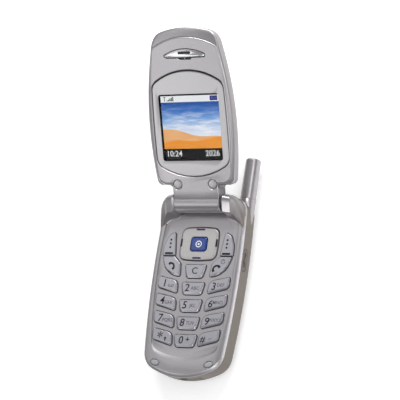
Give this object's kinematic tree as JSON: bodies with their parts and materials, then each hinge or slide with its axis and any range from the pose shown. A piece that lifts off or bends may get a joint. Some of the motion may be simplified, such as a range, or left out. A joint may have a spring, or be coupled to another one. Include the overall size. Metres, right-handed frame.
{
  "type": "flip phone",
  "caption": "Silver folding mobile phone lying open, with a hinged display lid, a curved keypad with separate keys, a stub antenna and a removable battery.",
  "frame": {"origin": "centre of the flat battery face on the back of the lower half", "axes": "+X to the right seen from the front, +Y along the lower half from the keypad to the hinge, +Z out of the keypad"},
  "size_m": [0.0446, 0.1485, 0.0551],
  "materials": {
    "silver_plastic": "satin silver paint on plastic",
    "taupe_plastic": "satin warm grey moulded plastic",
    "key_plastic": "satin metallic grey keys",
    "bright_plastic": "bright silver plated plastic",
    "grey_plastic": "moulded",
    "black_plastic": "moulded",
    "dark_plastic": "polished smoked window",
    "clear_plastic": "polished acrylic with a printed silver frame",
    "blue_plastic": "polished",
    "circuit_board": "solder mask",
    "film": "clear film over metal domes",
    "flex_film": "amber polyimide",
    "tinned_steel": "tinned",
    "steel": "zinc plated",
    "magnet_metal": "nickel plated",
    "gold_plate": "gold plated",
    "grey_rubber": "moulded silicone",
    "taupe_rubber": "moulded",
    "display_glass": "polished",
    "cell_can": "printed film on a can"
  },
  "bodies": {
    "base": {"front_housing": "silver_plastic", "rear_housing": "taupe_plastic", "main_board": "circuit_board", "shield_cans": "tinned_steel", "dome_sheet": "film", "key_mat": "grey_rubber", "microphone": "black_plastic", "ringer_speaker": "black_plastic", "sim_holder": "tinned_steel", "battery_contacts": "gold_plate", "antenna_bush": "gold_plate", "antenna": "silver_plastic", "system_connector": "black_plastic", "headset_jack": "black_plastic", "hinge_bush": "steel", "flex_tail": "flex_film", "chin_bumpers": "grey_rubber", "housing_screws": "steel"},
    "lid": {"flip_bezel": "silver_plastic", "flip_cover": "taupe_plastic", "display_lens": "clear_plastic", "display_module": "display_glass", "display_frame": "black_plastic", "earpiece_trim": "bright_plastic", "earpiece_speaker": "black_plastic", "flip_board": "circuit_board", "closing_magnet": "magnet_metal", "vibration_motor": "steel", "screw_caps": "silver_plastic", "flip_screws": "steel", "hinge_cartridge": "steel", "flip_flex": "flex_film", "outer_lens": "dark_plastic", "outer_display": "display_glass"},
    "key_1": {"key_1": "key_plastic"},
    "key_2": {"key_2": "key_plastic"},
    "key_3": {"key_3": "key_plastic"},
    "key_4": {"key_4": "key_plastic"},
    "key_5": {"key_5": "key_plastic"},
    "key_6": {"key_6": "key_plastic"},
    "key_7": {"key_7": "key_plastic"},
    "key_8": {"key_8": "key_plastic"},
    "key_9": {"key_9": "key_plastic"},
    "key_star": {"key_star": "key_plastic"},
    "key_0": {"key_0": "key_plastic"},
    "key_hash": {"key_hash": "key_plastic"},
    "clear_key": {"clear_key": "key_plastic"},
    "soft_key_left": {"soft_key_left": "key_plastic"},
    "soft_key_right": {"soft_key_right": "key_plastic"},
    "send_key": {"send_key": "key_plastic"},
    "end_key": {"end_key": "key_plastic"},
    "select_key": {"select_key": "blue_plastic"},
    "nav_rocker": {"nav_rocker": "grey_plastic"},
    "nav_key": {"nav_key": "bright_plastic"},
    "volume_key": {"volume_key": "taupe_plastic"},
    "jack_cover": {"jack_cover": "taupe_rubber"},
    "port_cover": {"port_cover": "taupe_rubber"},
    "battery_latch": {"battery_latch": "taupe_plastic"},
    "battery_pack": {"battery_cover": "taupe_plastic", "battery_cell": "cell_can"}
  },
  "joints": [
    {"name": "lid_hinge", "type": "hinge", "parent": "base", "child": "lid", "pos_m": [0, 0.04, 0.0169], "axis": [1, 0, 0], "range_deg": [0, 152.8]},
    {"name": "key_1_press", "type": "slide", "parent": "base", "child": "key_1", "axis": [0, 0, -1], "range_m": [0, 0.00035], "stiffness_N_per_m": 4000},
    {"name": "key_2_press", "type": "slide", "parent": "base", "child": "key_2", "axis": [0, 0, -1], "range_m": [0, 0.00035], "stiffness_N_per_m": 4000},
    {"name": "key_3_press", "type": "slide", "parent": "base", "child": "key_3", "axis": [0, 0, -1], "range_m": [0, 0.00035], "stiffness_N_per_m": 4000},
    {"name": "key_4_press", "type": "slide", "parent": "base", "child": "key_4", "axis": [0, 0, -1], "range_m": [0, 0.00035], "stiffness_N_per_m": 4000},
    {"name": "key_5_press", "type": "slide", "parent": "base", "child": "key_5", "axis": [0, 0, -1], "range_m": [0, 0.00035], "stiffness_N_per_m": 4000},
    {"name": "key_6_press", "type": "slide", "parent": "base", "child": "key_6", "axis": [0, 0, -1], "range_m": [0, 0.00035], "stiffness_N_per_m": 4000},
    {"name": "key_7_press", "type": "slide", "parent": "base", "child": "key_7", "axis": [0, 0, -1], "range_m": [0, 0.00035], "stiffness_N_per_m": 4000},
    {"name": "key_8_press", "type": "slide", "parent": "base", "child": "key_8", "axis": [0, 0, -1], "range_m": [0, 0.00035], "stiffness_N_per_m": 4000},
    {"name": "key_9_press", "type": "slide", "parent": "base", "child": "key_9", "axis": [0, 0, -1], "range_m": [0, 0.00035], "stiffness_N_per_m": 4000},
    {"name": "key_star_press", "type": "slide", "parent": "base", "child": "key_star", "axis": [0, 0, -1], "range_m": [0, 0.00035], "stiffness_N_per_m": 4000},
    {"name": "key_0_press", "type": "slide", "parent": "base", "child": "key_0", "axis": [0, 0, -1], "range_m": [0, 0.00035], "stiffness_N_per_m": 4000},
    {"name": "key_hash_press", "type": "slide", "parent": "base", "child": "key_hash", "axis": [0, 0, -1], "range_m": [0, 0.00035], "stiffness_N_per_m": 4000},
    {"name": "clear_key_press", "type": "slide", "parent": "base", "child": "clear_key", "axis": [0, 0, -1], "range_m": [0, 0.00035], "stiffness_N_per_m": 4000},
    {"name": "soft_key_left_press", "type": "slide", "parent": "base", "child": "soft_key_left", "axis": [0, 0, -1], "range_m": [0, 0.00035], "stiffness_N_per_m": 4000},
    {"name": "soft_key_right_press", "type": "slide", "parent": "base", "child": "soft_key_right", "axis": [0, 0, -1], "range_m": [0, 0.00035], "stiffness_N_per_m": 4000},
    {"name": "send_key_press", "type": "slide", "parent": "base", "child": "send_key", "axis": [0, 0, -1], "range_m": [0, 0.00035], "stiffness_N_per_m": 4000},
    {"name": "end_key_press", "type": "slide", "parent": "base", "child": "end_key", "axis": [0, 0, -1], "range_m": [0, 0.00035], "stiffness_N_per_m": 4000},
    {"name": "select_key_press", "type": "slide", "parent": "base", "child": "select_key", "axis": [0, 0, -1], "range_m": [0, 0.0003], "stiffness_N_per_m": 4000},
    {"name": "nav_rocker_tilt", "type": "hinge", "parent": "base", "child": "nav_rocker", "pos_m": [0, 0.0226, 0.0102], "axis": [1, 0, 0], "range_deg": [-1.4, 1.4], "stiffness_Nm_per_rad": 0.3},
    {"name": "nav_key_tilt", "type": "hinge", "parent": "nav_rocker", "child": "nav_key", "pos_m": [0, 0.0226, 0.0105], "axis": [0, 1, 0], "range_deg": [-1.4, 1.4], "stiffness_Nm_per_rad": 0.3},
    {"name": "volume_key_tilt", "type": "hinge", "parent": "base", "child": "volume_key", "pos_m": [-0.01952, 0.017, 0.0075], "axis": [0, 0, 1], "range_deg": [-2, 2], "stiffness_Nm_per_rad": 0.3},
    {"name": "jack_cover_swing", "type": "hinge", "parent": "base", "child": "jack_cover", "pos_m": [0.02178, 0.02145, 0.0089], "axis": [0, 0, 1], "range_deg": [0, 110]},
    {"name": "port_cover_swing", "type": "hinge", "parent": "base", "child": "port_cover", "pos_m": [0, -0.0377, 0.0044], "axis": [1, 0, 0], "range_deg": [0, 100]},
    {"name": "battery_latch_slide", "type": "slide", "parent": "base", "child": "battery_latch", "axis": [0, 1, 0], "range_m": [0, 0.0012], "stiffness_N_per_m": 500},
    {"name": "battery_pack_slide", "type": "slide", "parent": "base", "child": "battery_pack", "axis": [0, 0, -1], "range_m": [0, 0.008]}
  ]
}
